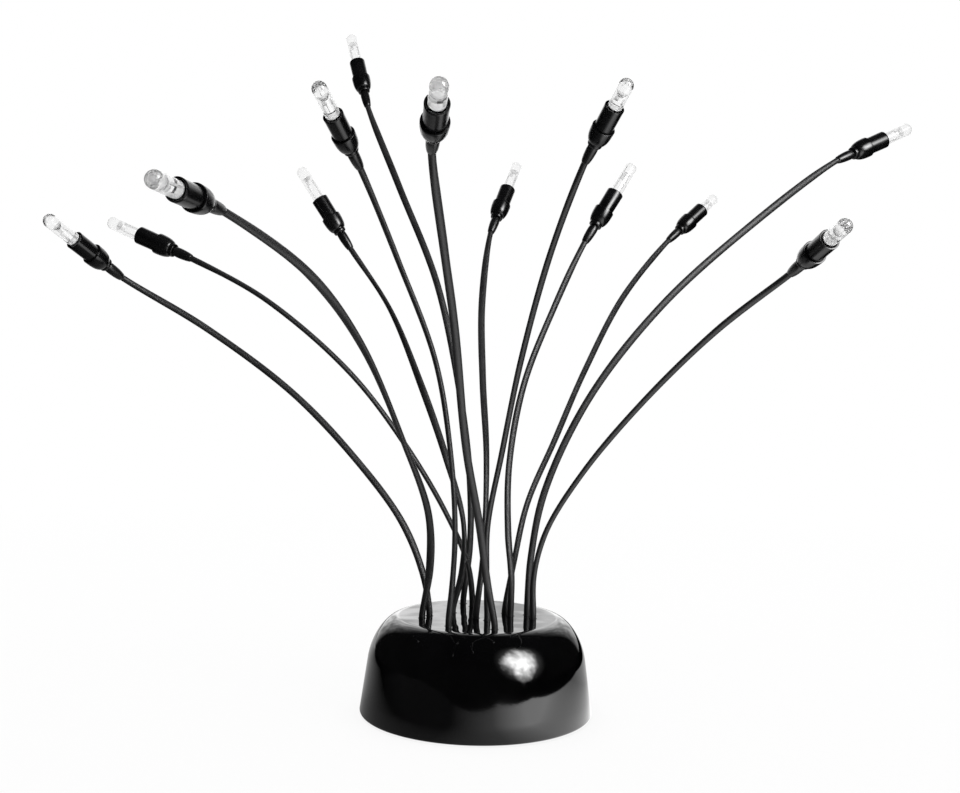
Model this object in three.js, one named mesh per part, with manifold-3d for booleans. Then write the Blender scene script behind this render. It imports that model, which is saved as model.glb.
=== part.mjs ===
// Pond light: a round weighted base with thirteen bendable stems, each ending in a clear lamp in a holder.
// Lengths are in millimetres, Z is up, and the origin is the middle of the foot pad's underside.
import * as THREE from 'three';
import { mergeVertices } from 'three/addons/utils/BufferGeometryUtils.js';
import Module from 'manifold-3d';

const wasm = await Module();
wasm.setup();

// Gap kept between two pieces that fit together.
const gap = 0.3;

// Base shell: a low dome with a flat top and an almost upright wall.
const base_radius = 42;
const base_height = 35.3;
const rim_height = 0.4;
const rim_round = 1;
const rim_steps = 3;
const wall_lean = 1.94;
const wall_top_share = 0.4145;
const shoulder_width = 11.86;
const shoulder_power = 1.86;
const shell_top_thickness = 2.6;
const shell_wall_thickness = 2.66;
const inner_flat_inset = 0.7;
const foot_wall_thickness = 3.4;
const shell_segments = 44;
const shoulder_steps = 6;
const inner_segments = 28;
const small_segments = 10;

// Ledge inside the foot of the shell: the cover screws up against it.
const ledge_height = 4.3;
const flange_thickness = 2.5;
const collar_height = 10.5;
const collar_inset = 8.8;
const collar_thickness = 2;
const rim_width = 2.8;

// Bottom cover with its spigot, posts and screws.
const cover_bottom = 1.3;
const spigot_top = 9;
const spigot_thickness = 3.3;
const groove_bottom = 5.6;
const groove_top = 8;
const groove_depth = 1.8;
const seal_wire_radius = 0.76;
const seal_sides = 6;
const pad_inset = 15;
const pad_height = 2;
const screw_inset = 6.1;
const screw_count = 4;
const screw_radius = 1.25;
const screw_head_radius = 2;
const screw_head_height = 1.5;
const screw_top = 9.4;
const screw_slot_length = 2.6;
const screw_slot_width = 0.7;
const screw_slot_depth = 0.8;
const screw_boss_radius = 3;
const post_inset = 16.8;
const post_count = 3;
const post_radius = 2;
const post_pin_radius = 1.2;
const post_pin_height = 2.6;
const hub_radius = 7.5;
const hub_top = 11;

// Weight and circuit inside the base. The parts on the board share the room below the resin.
const ballast_inset = 20.6;
const ballast_top = 13.6;
const board_inset = 14;
const board_bottom = 14.3;
const board_thickness = 1.6;
const resin_bottom_share = 0.55;
const inductor_radius = 5;
const inductor_waist_radius = 4;
const inductor_flange = 1.2;
const inductor_height_share = 0.6;
const inductor_place = new THREE.Vector2(-13, -7);
const capacitor_radius = 4;
const capacitor_height_share = 0.82;
const capacitor_bevel = 0.6;
const capacitor_place = new THREE.Vector2(9, -12);
const terminal_height_share = 0.64;
const terminal_width = 16;
const terminal_depth = 8;
const terminal_place = new THREE.Vector2(3, 14);
const terminal_slot_size = new THREE.Vector3(2.4, 5, 3);
const terminal_slot_pitch = 4.6;

// Cable gland low on the back of the shell, along +Y.
const gland_height = 17.5;
const gland_bore_radius = 3.1;
const gland_thread_radius = 4.4;
const gland_pad_radius = 6.6;
const gland_pad_inset = 0.8;
const gland_pad_depth = 5.6;
const gland_thread_inset = 10;
const gland_washer_thickness = 1;
const gland_hex_radius = 6.35;
const gland_hex_length = 3.5;
const hex_sides = 6;
const gland_nose_radius = 5.1;
const gland_nose_tip_radius = 4;
const gland_nose_length = 4.6;
const gland_nut_length = 3;

// Stems: a sheathed wire with a moulded boot, and the lamp holder that it carries.
const stem_reach = 100;
const wire_radius = 1.15;
const wire_sides = 8;
const wire_step = 11;
const tail_depth = 1.6;
const tail_rise = 1.5;
const hole_top_radius = 1.75;
const hole_bottom_radius = 2.05;
const hole_segments = 10;
const boot_segments = 8;
const boot_length = 7.5;
const boot_back_radius = 1.45;
const boot_middle_radius = 1.85;
const boot_front_radius = 1.85;
const wire_into_holder = 5;
const bead_radius = 2.6;
const bead_length = 1.2;
const bead_round = 0.3;
const neck_radius = 2.5;
const neck_length = 0.3;
const collar_dome_radius = 3.2;
const holder_collar_radius = 4;
const holder_collar_length = 6.4;
const holder_tube_radius = 3.4;
const holder_tube_back_radius = 3.3;
const holder_length = 16.7;
const lamp_bore_depth = 4.9;
const lamp_radius = 2.5;
const lamp_in_holder = 4.3;
const lamp_out_of_holder = 14;
const holder_segments = 10;
const lamp_segments = 10;
const dome_steps = 3;

// Each stem's route, in shares of the stem reach, from the middle of the base's flat top:
// where it leaves the top, five places along the wire, the boot's back end and the holder's front.
// The lamp share is how far that lamp stands out, as each is pushed in to its own depth by hand.
const stem_shares = [
  { name: '01', root: [-0.174, -0.02], boot: [-1.34, 0.14, 1.2], front: [-1.46, -0.03, 1.32],
    lamp: 1.02, way: [[-0.2, -0.01, 0.15], [-0.28, 0.02, 0.33], [-0.455, 0.09, 0.545],
      [-0.705, 0.16, 0.785], [-1.04, 0.2, 1.02]] },
  { name: '02', root: [-0.02, 0.16], boot: [-1.11, 0.26, 1.28], front: [-1.33, 0.34, 1.37],
    lamp: 1.08, way: [[-0.04, 0.15, 0.16], [-0.12, 0.15, 0.34], [-0.27, 0.12, 0.59],
      [-0.485, 0.1, 0.865], [-0.8, 0.13, 1.125]] },
  { name: '03', root: [-0.198, -0.06], boot: [-0.71, -1.19, 1.34], front: [-0.78, -1.42, 1.37],
    lamp: 0.93, way: [[-0.175, -0.06, 0.17], [-0.18, -0.12, 0.38], [-0.265, -0.27, 0.65],
      [-0.385, -0.56, 0.975], [-0.52, -0.85, 1.19]] },
  { name: '04', root: [-0.09, 0.04], boot: [-0.56, 0.76, 1.36], front: [-0.7, 0.79, 1.57],
    lamp: 1.12, way: [[-0.06, 0.06, 0.15], [-0.06, 0.13, 0.32], [-0.13, 0.26, 0.54],
      [-0.24, 0.44, 0.81], [-0.385, 0.63, 1.115]] },
  { name: '05', root: [-0.1, -0.18], boot: [-0.42, -0.37, 1.56], front: [-0.49, -0.56, 1.7],
    lamp: 1, way: [[-0.09, -0.17, 0.15], [-0.085, -0.16, 0.33], [-0.105, -0.15, 0.59],
      [-0.165, -0.15, 0.92], [-0.3, -0.22, 1.27]] },
  { name: '06', root: [-0.055, 0.21], boot: [-0.53, 1.1, 2], front: [-0.59, 1.21, 2.21],
    lamp: 1.1, way: [[-0.035, 0.24, 0.21], [-0.04, 0.28, 0.46], [-0.09, 0.39, 0.8],
      [-0.19, 0.58, 1.21], [-0.37, 0.85, 1.63]] },
  { name: '07', root: [0.06, -0.22], boot: [-0.15, -1.2, 1.51], front: [-0.13, -1.42, 1.595],
    lamp: 0.75, way: [[0.03, -0.23, 0.17], [0, -0.27, 0.37], [-0.05, -0.39, 0.64],
      [-0.09, -0.68, 1.04], [-0.12, -0.89, 1.26]] },
  { name: '08', root: [-0.005, -0.04], boot: [0.02, 0.91, 1.45], front: [0.09, 1.04, 1.65],
    lamp: 1.08, way: [[0.01, -0.01, 0.16], [0.02, 0.07, 0.33], [0.02, 0.21, 0.57],
      [0, 0.44, 0.84], [-0.01, 0.7, 1.15]] },
  { name: '09', root: [0.035, -0.08], boot: [0.33, -0.24, 1.61], front: [0.41, -0.41, 1.77],
    lamp: 0.82, way: [[0.03, -0.07, 0.15], [0.03, -0.05, 0.34], [0.075, -0.03, 0.6],
      [0.135, -0.03, 0.93], [0.225, -0.1, 1.3]] },
  { name: '10', root: [0.12, 0.01], boot: [0.39, 0.49, 1.39], front: [0.51, 0.56, 1.59],
    lamp: 1.05, way: [[0.12, 0.01, 0.14], [0.105, 0.05, 0.3], [0.105, 0.13, 0.54],
      [0.155, 0.24, 0.83], [0.27, 0.37, 1.13]] },
  { name: '11', root: [0.1, 0.05], boot: [0.83, 1.31, 1.46], front: [0.99, 1.41, 1.61],
    lamp: 0.75, way: [[0.13, 0.1, 0.18], [0.175, 0.19, 0.38], [0.285, 0.4, 0.61],
      [0.42, 0.7, 0.88], [0.605, 1.04, 1.195]] },
  { name: '12', root: [0.18, 0.03], boot: [1.39, 0.56, 1.74], front: [1.6, 0.65, 1.84],
    lamp: 1.03, way: [[0.19, 0.04, 0.21], [0.235, 0.06, 0.45], [0.39, 0.1, 0.79],
      [0.66, 0.19, 1.14], [1.04, 0.36, 1.48]] },
  { name: '13', root: [0.2, -0.03], boot: [0.99, -0.45, 1.24], front: [1.06, -0.67, 1.34],
    lamp: 0.8, way: [[0.2, -0.02, 0.15], [0.24, -0.02, 0.315], [0.365, -0.05, 0.535],
      [0.56, -0.11, 0.79], [0.79, -0.25, 1.05]] },
];

// Sizes that follow from the ones above.
const right_angle = Math.PI / 2;
const full_turn = Math.PI * 2;
const wall_top_radius = base_radius - wall_lean;
const wall_top_height = wall_top_share * base_height;
const flat_radius = wall_top_radius - shoulder_width;
const inner_top = base_height - shell_top_thickness;
const inner_flat_radius = flat_radius - inner_flat_inset;
const inner_wall_low_radius = base_radius - foot_wall_thickness;
const inner_wall_top_radius = wall_top_radius - shell_wall_thickness;
const collar_radius = base_radius - collar_inset;
const cover_pocket_radius = base_radius - rim_width;
const cover_radius = cover_pocket_radius - gap;
const cover_top = ledge_height - gap;
const spigot_radius = collar_radius - gap;
const spigot_inner_radius = spigot_radius - spigot_thickness;
const groove_radius = spigot_radius - groove_depth;
const pad_radius = base_radius - pad_inset;
const screw_circle_radius = base_radius - screw_inset;
const post_circle_radius = base_radius - post_inset;
const ballast_radius = base_radius - ballast_inset;
const board_radius = base_radius - board_inset;
const board_top = board_bottom + board_thickness;
const part_floor = board_top + gap;
const resin_top = inner_top - gap;
const resin_rise_share = Math.sin(resin_bottom_share * right_angle) ** (2 / shoulder_power);
const resin_floor = wall_top_height + (resin_top - wall_top_height) * resin_rise_share;
const part_room = resin_floor - part_floor;
const inductor_height = inductor_height_share * part_room;
const capacitor_height = capacitor_height_share * part_room;
const terminal_size = new THREE.Vector3(terminal_width, terminal_depth, terminal_height_share * part_room);
const gland_pad_back = base_radius - gland_pad_inset;
const gland_pad_front = gland_pad_back - gland_pad_depth;
const gland_thread_start = base_radius - gland_thread_inset;

const black_gloss = { color: 0x0b0b0c, roughness: 0.12, metalness: 0 };
const black_satin = { color: 0x222326, roughness: 0.45, metalness: 0 };
const black_matte = { color: 0x1b1b1d, roughness: 0.7, metalness: 0 };
const rubber_black = { color: 0x18181a, roughness: 0.85, metalness: 0 };
const clear_lamp = { color: 0xf2f5f7, roughness: 0.05, metalness: 0, transparent: true, opacity: 0.35 };
const grey_iron = { color: 0x565758, roughness: 0.6, metalness: 0.8 };
const dark_resin = { color: 0x26262a, roughness: 0.3, metalness: 0 };
const green_board = { color: 0x1e5a33, roughness: 0.4, metalness: 0 };
const dark_ferrite = { color: 0x2c2c30, roughness: 0.6, metalness: 0 };
const bright_can = { color: 0xb9bcc0, roughness: 0.3, metalness: 0.9 };
const green_plastic = { color: 0x2f7a4a, roughness: 0.5, metalness: 0 };
const steel = { color: 0xa4a6a9, roughness: 0.35, metalness: 0.95 };

const light = new THREE.Group();

function piece(name, geometry, look, parent = light) {
  const mesh = new THREE.Mesh(geometry, new THREE.MeshStandardMaterial(look));
  mesh.name = name;
  parent.add(mesh);
  return mesh;
}

// A turned body about Z. The profile lists radius and height, with the material on its left.
function turned(profile, segments) {
  const points = profile.map(([radius, height]) => new THREE.Vector2(radius, height));
  return new THREE.LatheGeometry(points, segments).rotateX(right_angle);
}

// An upright rod between two heights.
function rod(radius, bottom, top, segments, top_radius = radius) {
  const geometry = new THREE.CylinderGeometry(top_radius, radius, top - bottom, segments);
  return geometry.rotateX(right_angle).translate(0, 0, (bottom + top) / 2);
}

function box(size, centre) {
  return new THREE.BoxGeometry(size.x, size.y, size.z).translate(centre.x, centre.y, centre.z);
}

// Turns an upright body so that its +Z runs along +Y at the gland's height.
function lay_back(geometry) {
  return geometry.rotateX(-right_angle).translate(0, 0, gland_height);
}

function around(count, radius, first_angle) {
  const places = [];
  for (let index = 0; index < count; index += 1) {
    const angle = first_angle + (index * full_turn) / count;
    places.push(new THREE.Vector2(radius * Math.cos(angle), radius * Math.sin(angle)));
  }
  return places;
}

function solid(geometry) {
  const bare = geometry.clone();
  bare.deleteAttribute('normal');
  bare.deleteAttribute('uv');
  const merged = mergeVertices(bare);
  const corners = merged.index.array;
  const kept = [];
  for (let start = 0; start < corners.length; start += 3) {
    const [a, b, c] = corners.slice(start, start + 3);
    if (a !== b && b !== c && c !== a) kept.push(a, b, c);
  }
  const vertProperties = new Float32Array(merged.attributes.position.array);
  const triVerts = new Uint32Array(kept);
  return new wasm.Manifold(new wasm.Mesh({ numProp: 3, vertProperties, triVerts }));
}

function geometry_of(body) {
  const mesh = body.getMesh();
  const geometry = new THREE.BufferGeometry();
  geometry.setAttribute('position', new THREE.BufferAttribute(mesh.vertProperties, 3));
  geometry.setIndex(new THREE.BufferAttribute(mesh.triVerts, 1));
  geometry.computeVertexNormals();
  return geometry;
}

function joined(first, ...others) {
  return others.reduce((body, other) => body.add(solid(other)), solid(first));
}

function cut(body, ...tools) {
  return tools.reduce((rest, tool) => rest.subtract(solid(tool)), body);
}

// A rounded shoulder from the wall's top in to the flat, as radius and height pairs going up.
function shoulder(flat, wall, bottom, top, first_share = 0) {
  const points = [];
  for (let step = 0; step <= shoulder_steps; step += 1) {
    const share = first_share + ((1 - first_share) * step) / shoulder_steps;
    const across = Math.max(Math.cos(share * right_angle), 0) ** (2 / shoulder_power);
    const up = Math.sin(share * right_angle) ** (2 / shoulder_power);
    points.push([flat + (wall - flat) * across, bottom + (top - bottom) * up]);
  }
  return points;
}

function arc(centre_radius, centre_height, radius, first_angle, last_angle, steps) {
  const points = [];
  for (let step = 0; step <= steps; step += 1) {
    const angle = first_angle + ((last_angle - first_angle) * step) / steps;
    points.push([centre_radius + radius * Math.cos(angle), centre_height + radius * Math.sin(angle)]);
  }
  return points;
}

const screw_places = around(screw_count, screw_circle_radius, right_angle / 2);
const post_places = around(post_count, post_circle_radius, right_angle / 3);

function base_shell() {
  const flange_top = ledge_height + flange_thickness;
  const inside = shoulder(inner_flat_radius, inner_wall_top_radius, wall_top_height, inner_top).reverse();
  const outside = shoulder(flat_radius, wall_top_radius, wall_top_height, base_height);
  const profile = [
    [0, inner_top],
    ...inside,
    [inner_wall_low_radius, flange_top],
    [collar_radius + collar_thickness, flange_top],
    [collar_radius + collar_thickness, collar_height],
    [collar_radius, collar_height],
    [collar_radius, ledge_height],
    [cover_pocket_radius, ledge_height],
    [cover_pocket_radius, rim_height],
    ...arc(base_radius - rim_round, rim_height + rim_round, rim_round, -right_angle, 0, rim_steps),
    ...outside,
    [0, base_height],
  ];
  const bosses = screw_places.map((place) =>
    rod(screw_boss_radius, ledge_height, collar_height, small_segments).translate(place.x, place.y, 0));
  const gland_pad = lay_back(rod(gland_pad_radius, gland_pad_front, gland_pad_back, 2 * small_segments));
  const whole = joined(turned(profile, shell_segments), ...bosses, gland_pad);
  const below = ledge_height - collar_thickness;
  const screw_holes = screw_places.map((place) =>
    rod(screw_radius + gap, below, screw_top + gap, small_segments).translate(place.x, place.y, 0));
  const bore = rod(collar_radius, below, collar_height + gap, shell_segments);
  const pad_hole_start = gland_pad_front - collar_thickness;
  const pad_hole_end = gland_pad_back + collar_thickness;
  const gland_hole = lay_back(rod(gland_thread_radius + gap, pad_hole_start, pad_hole_end, small_segments));
  const stem_holes = stem_shares.map((stem) => {
    const hole = rod(hole_bottom_radius, inner_top - gap, base_height, hole_segments, hole_top_radius);
    const mouth = rod(hole_top_radius, base_height - gap, base_height + gap, hole_segments);
    const [x, y] = stem.root.map((share) => share * stem_reach);
    return geometry_of(joined(hole, mouth)).translate(x, y, 0);
  });
  return geometry_of(cut(whole, bore, ...screw_holes, gland_hole, ...stem_holes));
}

function bottom_cover() {
  const profile = [
    [0, cover_bottom],
    [cover_radius, cover_bottom],
    [cover_radius, cover_top],
    [spigot_radius, cover_top],
    [spigot_radius, groove_bottom],
    [groove_radius, groove_bottom],
    [groove_radius, groove_top],
    [spigot_radius, groove_top],
    [spigot_radius, spigot_top],
    [spigot_inner_radius, spigot_top],
    [spigot_inner_radius, cover_top],
    [hub_radius, cover_top],
    [hub_radius, hub_top],
    [0, hub_top],
  ];
  const posts = post_places.flatMap((place) => [
    rod(post_radius, cover_top - gap, board_bottom - gap, small_segments).translate(place.x, place.y, 0),
    rod(post_pin_radius, board_bottom - 2 * gap, board_bottom + post_pin_height, small_segments)
      .translate(place.x, place.y, 0),
  ]);
  const body = joined(turned(profile, shell_segments), ...posts);
  const under = cover_bottom - gap;
  const pad_recess = rod(pad_radius + gap, under, pad_height + gap, shell_segments);
  const screw_cuts = screw_places.flatMap((place) => [
    rod(screw_head_radius + gap, under, cover_bottom + screw_head_height + gap, small_segments)
      .translate(place.x, place.y, 0),
    rod(screw_radius + gap, under, cover_top + gap, small_segments).translate(place.x, place.y, 0),
  ]);
  return geometry_of(cut(body, pad_recess, ...screw_cuts));
}

function cover_seal() {
  const centre_radius = groove_radius + gap + seal_wire_radius;
  const centre_height = (groove_bottom + groove_top) / 2;
  const ring = arc(centre_radius, centre_height, seal_wire_radius, 0, full_turn, seal_sides);
  return turned(ring, shell_segments);
}

function screw() {
  const head_top = cover_bottom + screw_head_height;
  const profile = [
    [0, cover_bottom],
    [screw_head_radius, cover_bottom],
    [screw_head_radius, head_top],
    [screw_radius, head_top],
    [screw_radius, screw_top - screw_radius],
    [screw_radius / 2, screw_top],
    [0, screw_top],
  ];
  const slot = new THREE.Vector3(screw_slot_length, screw_slot_width, 2 * screw_slot_depth);
  const cross = new THREE.Vector3(screw_slot_width, screw_slot_length, 2 * screw_slot_depth);
  const middle = new THREE.Vector3(0, 0, cover_bottom);
  return geometry_of(cut(solid(turned(profile, small_segments)), box(slot, middle), box(cross, middle)));
}

function ballast() {
  const bore_radius = hub_radius + gap;
  const bottom = cover_top + gap;
  const profile = [
    [bore_radius, bottom],
    [ballast_radius - gap, bottom],
    [ballast_radius, bottom + gap],
    [ballast_radius, ballast_top - gap],
    [ballast_radius - gap, ballast_top],
    [bore_radius, ballast_top],
    [bore_radius, bottom],
  ];
  return turned(profile, inner_segments);
}

function circuit_board() {
  const hole_radius = post_pin_radius + gap;
  const holes = post_places.map((place) =>
    rod(hole_radius, board_bottom - gap, board_top + gap, small_segments).translate(place.x, place.y, 0));
  return geometry_of(cut(solid(rod(board_radius, board_bottom, board_top, inner_segments)), ...holes));
}

function inductor() {
  const top = part_floor + inductor_height;
  const profile = [
    [0, part_floor],
    [inductor_radius, part_floor],
    [inductor_radius, part_floor + inductor_flange],
    [inductor_waist_radius, part_floor + inductor_flange],
    [inductor_waist_radius, top - inductor_flange],
    [inductor_radius, top - inductor_flange],
    [inductor_radius, top],
    [0, top],
  ];
  return turned(profile, inner_segments / 2).translate(inductor_place.x, inductor_place.y, 0);
}

function capacitor() {
  const top = part_floor + capacitor_height;
  const profile = [
    [0, part_floor],
    [capacitor_radius, part_floor],
    [capacitor_radius, top - capacitor_bevel],
    [capacitor_radius - capacitor_bevel, top],
    [0, top],
  ];
  return turned(profile, inner_segments / 2).translate(capacitor_place.x, capacitor_place.y, 0);
}

function terminal_block() {
  const middle = new THREE.Vector3(terminal_place.x, terminal_place.y, part_floor + terminal_size.z / 2);
  const back = terminal_place.y + terminal_size.y / 2;
  const slots = [-1, 0, 1].map((side) => {
    const centre = new THREE.Vector3(terminal_place.x + side * terminal_slot_pitch, back, middle.z);
    return box(terminal_slot_size, centre);
  });
  return geometry_of(cut(solid(box(terminal_size, middle)), ...slots));
}

// Sealing resin under the shell's top, shaped by the shell's own inside.
function resin_fill() {
  const outside = shoulder(inner_flat_radius - gap, inner_wall_top_radius - gap, wall_top_height,
    resin_top, resin_bottom_share);
  return turned([[0, resin_floor], ...outside, [0, resin_top]], inner_segments);
}

function foot_pad() {
  const edge = rim_height;
  const profile = [
    [0, 0],
    [pad_radius - edge, 0],
    [pad_radius, edge],
    [pad_radius, pad_height],
    [0, pad_height],
  ];
  return turned(profile, shell_segments);
}

function gland_body() {
  const washer_end = gland_pad_back + gap + gland_washer_thickness;
  const hex_start = washer_end + gap;
  const hex_end = hex_start + gland_hex_length;
  const nose_end = hex_end + gland_nose_length;
  const thread = rod(gland_thread_radius, gland_thread_start, hex_start + gap, small_segments);
  const hexagon = rod(gland_hex_radius, hex_start, hex_end, hex_sides);
  const nose = rod(gland_nose_radius, hex_end - gap, nose_end, 2 * small_segments, gland_nose_tip_radius);
  const bore = rod(gland_bore_radius, gland_thread_start - gap, nose_end + gap, small_segments);
  return lay_back(geometry_of(cut(joined(thread, hexagon, nose), bore)));
}

function gland_seal() {
  const start = gland_pad_back + gap;
  const end = start + gland_washer_thickness;
  const ring = rod(gland_pad_radius - 2 * gap, start, end, 2 * small_segments);
  const bore = rod(gland_thread_radius + gap, start - gap, end + gap, small_segments);
  return lay_back(geometry_of(cut(solid(ring), bore)));
}

function gland_nut() {
  const end = gland_pad_front - gap;
  const hexagon = rod(gland_hex_radius - 2 * gap, end - gland_nut_length, end, hex_sides);
  const bore = rod(gland_thread_radius + gap, end - 2 * gland_nut_length, end + gap, small_segments);
  return lay_back(geometry_of(cut(solid(hexagon), bore)));
}

// The boot, from its back end at zero height.
function boot() {
  const profile = [
    [0, 0],
    [boot_back_radius, 0],
    [boot_middle_radius, boot_length / 2],
    [boot_front_radius, boot_length],
    [0, boot_length],
  ];
  return turned(profile, boot_segments);
}

// The lamp holder, from its back face at zero height: a bead, a domed collar and an open tube.
function holder() {
  const collar_start = bead_length + neck_length;
  const collar_end = collar_start + holder_collar_length;
  const dome_length = holder_collar_radius - collar_dome_radius;
  const wire_hole_radius = wire_radius + gap;
  const lamp_hole_radius = lamp_radius + gap;
  const profile = [
    [wire_hole_radius, 0],
    [bead_radius - bead_round, 0],
    [bead_radius, bead_round],
    [bead_radius, bead_length - bead_round],
    [neck_radius, bead_length],
    [neck_radius, collar_start],
    [collar_dome_radius, collar_start],
    [holder_collar_radius, collar_start + 2 * dome_length],
    [holder_collar_radius, collar_end],
    [holder_tube_back_radius, collar_end],
    [holder_tube_radius, holder_length],
    [lamp_hole_radius, holder_length],
    [lamp_hole_radius, holder_length - lamp_bore_depth],
    [wire_hole_radius, holder_length - lamp_bore_depth - lamp_hole_radius / 2],
    [wire_hole_radius, 0],
  ];
  return turned(profile, holder_segments);
}

// The lamp: a clear rod with a domed tip, its tip the last point up the axis.
function lamp(share) {
  const back = holder_length - lamp_in_holder;
  const tip = holder_length + lamp_out_of_holder * share;
  const dome = arc(0, tip - lamp_radius, lamp_radius, 0, right_angle, dome_steps).slice(0, -1);
  return turned([[0, back], [lamp_radius, back], ...dome, [0, tip]], lamp_segments);
}

// The middle line of a stem's wire, from inside the base's top to inside the holder.
function stem_line(root, way, back, heading) {
  const into = boot_length + wire_into_holder;
  const ends = [root.clone().setZ(-tail_depth), root.clone().setZ(tail_rise)];
  const last = back.clone().addScaledVector(heading, into);
  return new THREE.CatmullRomCurve3([...ends, ...way, back, last], false, 'centripetal');
}

function wire(line) {
  const section = new THREE.Shape();
  section.absarc(0, 0, wire_radius, 0, full_turn);
  const steps = Math.round(line.getLength() / wire_step);
  const settings = { steps, curveSegments: wire_sides / 2, extrudePath: line, bevelEnabled: false };
  return new THREE.ExtrudeGeometry(section, settings);
}

function add_stem(shares, crown) {
  const at = (share) => new THREE.Vector3(...share).multiplyScalar(stem_reach);
  const root = at([...shares.root, 0]);
  const back = at(shares.boot);
  const heading = at(shares.front).sub(back).normalize();
  const turn = new THREE.Quaternion().setFromUnitVectors(new THREE.Vector3(0, 0, 1), heading);
  const sleeve = boot().applyQuaternion(turn).translate(back.x, back.y, back.z);
  const sheath = wire(stem_line(root, shares.way.map(at), back, heading));
  piece(`stem_${shares.name}`, geometry_of(joined(sheath, sleeve)), black_satin, crown);
  const head = new THREE.Group();
  head.quaternion.copy(turn);
  head.position.copy(back).addScaledVector(heading, boot_length + gap);
  crown.add(head);
  piece(`holder_${shares.name}`, holder(), black_gloss, head);
  piece(`lamp_${shares.name}`, lamp(shares.lamp), clear_lamp, head);
}

piece('base_shell', base_shell(), black_gloss);
piece('bottom_cover', bottom_cover(), black_matte);
piece('cover_seal', cover_seal(), rubber_black);
piece('foot_pad', foot_pad(), rubber_black);
piece('ballast', ballast(), grey_iron);
piece('resin_fill', resin_fill(), dark_resin);
piece('circuit_board', circuit_board(), green_board);
piece('inductor', inductor(), dark_ferrite);
piece('capacitor', capacitor(), bright_can);
piece('terminal_block', terminal_block(), green_plastic);
piece('gland_body', gland_body(), black_matte);
piece('gland_seal', gland_seal(), rubber_black);
piece('gland_nut', gland_nut(), black_matte);
screw_places.forEach((place, index) => {
  piece(`screw_${index + 1}`, screw(), steel).position.set(place.x, place.y, 0);
});

const crown = new THREE.Group();
crown.position.z = base_height;
light.add(crown);
stem_shares.forEach((shares) => add_stem(shares, crown));

export default light;
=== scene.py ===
# %% [markdown]
# # A pond light with bendable stems
# A low gloss black base stands flat, and thirteen wire stems fan out of its top. Each stem ends in a
# small black holder with a clear rod lamp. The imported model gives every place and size, and this
# script dresses it: finer shapes over the plain solids, and a finish for every surface.

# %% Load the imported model
import math
import random

import bmesh
import bpy
from mathutils import Matrix, Vector
from mathutils.kdtree import KDTree


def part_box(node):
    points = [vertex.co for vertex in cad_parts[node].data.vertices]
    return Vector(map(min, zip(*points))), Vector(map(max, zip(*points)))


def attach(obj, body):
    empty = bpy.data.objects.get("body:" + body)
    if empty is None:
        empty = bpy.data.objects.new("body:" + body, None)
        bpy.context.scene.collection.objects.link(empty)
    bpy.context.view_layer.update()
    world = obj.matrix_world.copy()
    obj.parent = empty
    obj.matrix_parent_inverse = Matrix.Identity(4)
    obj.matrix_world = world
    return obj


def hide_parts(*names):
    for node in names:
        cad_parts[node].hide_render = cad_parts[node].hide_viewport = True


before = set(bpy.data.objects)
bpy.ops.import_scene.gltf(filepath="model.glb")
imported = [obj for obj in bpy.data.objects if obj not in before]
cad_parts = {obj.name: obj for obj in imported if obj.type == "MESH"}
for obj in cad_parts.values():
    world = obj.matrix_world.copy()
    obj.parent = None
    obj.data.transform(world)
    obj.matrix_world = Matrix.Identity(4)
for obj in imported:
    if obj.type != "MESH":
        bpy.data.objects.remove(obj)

scene = bpy.context.scene
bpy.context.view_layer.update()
mm = 0.001

# %% [markdown]
# ## The camera
# The viewer stands in front of the light, a little above it, and looks slightly down. The picture is
# turned by about a degree. A lens of 50 mm on a 36 mm sensor gives the same perspective: the near
# lamps are almost twice as large as the far ones.

# %% Camera
camera_place = Vector((0, -480, 138.77)) * mm
look_down = math.radians(2.849)
look_left = math.radians(0.102)
picture_turn = math.radians(1.278)
lens_mm = 50.115

lens = bpy.data.cameras.new("camera")
lens.sensor_fit = "HORIZONTAL"
lens.sensor_width = 36
lens.lens = lens_mm
lens.clip_start = 0.01
camera = bpy.data.objects.new("camera", lens)
scene.collection.objects.link(camera)
turn_left = Matrix.Rotation(look_left, 4, "Z")
tip_down = Matrix.Rotation(math.pi / 2 - look_down, 4, "X")
turn_picture = Matrix.Rotation(picture_turn, 4, "Z")
camera.matrix_world = Matrix.Translation(camera_place) @ turn_left @ tip_down @ turn_picture
scene.camera = camera
print("camera", [round(v, 3) for v in camera.matrix_world.translation])

# %% [markdown]
# ## Node materials
# Every finish is a Principled BSDF with a few texture nodes in front of it. Such a tree can be wired by
# hand in the shader editor, but a dozen finishes would repeat the same clicks. Two small helpers keep it
# readable: one starts a material, and the other adds a node and sets its values.

# %% Material helpers
def new_material(name):
    material = bpy.data.materials.new(name)
    material.use_nodes = True
    tree = material.node_tree
    shader = tree.nodes["Principled BSDF"]
    return material, tree, shader


def add_node(tree, kind, **values):
    node = tree.nodes.new(kind)
    for key, value in values.items():
        if key in node.inputs:
            node.inputs[key].default_value = value
        else:
            setattr(node, key, value)
    return node


print("material helpers are ready")

# %% [markdown]
# A pattern needs a place at which it is read. Object coordinates are the place on the piece itself, so a
# pattern keeps its size and stays on its piece when that moves. A noise texture's values lie mostly
# between 0.3 and 0.7, so the ramps that turn noise into a colour or a gloss run over that part.

# %% Noise, ramps and bumps
noise_low = 0.3
noise_high = 0.7


def object_place(tree):
    return add_node(tree, "ShaderNodeTexCoord").outputs["Object"]


def noise_at(tree, place, scale, detail, roughness=0.5):
    noise = add_node(tree, "ShaderNodeTexNoise", Scale=scale, Detail=detail, Roughness=roughness)
    tree.links.new(place, noise.inputs["Vector"])
    return noise.outputs["Fac"]


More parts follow.
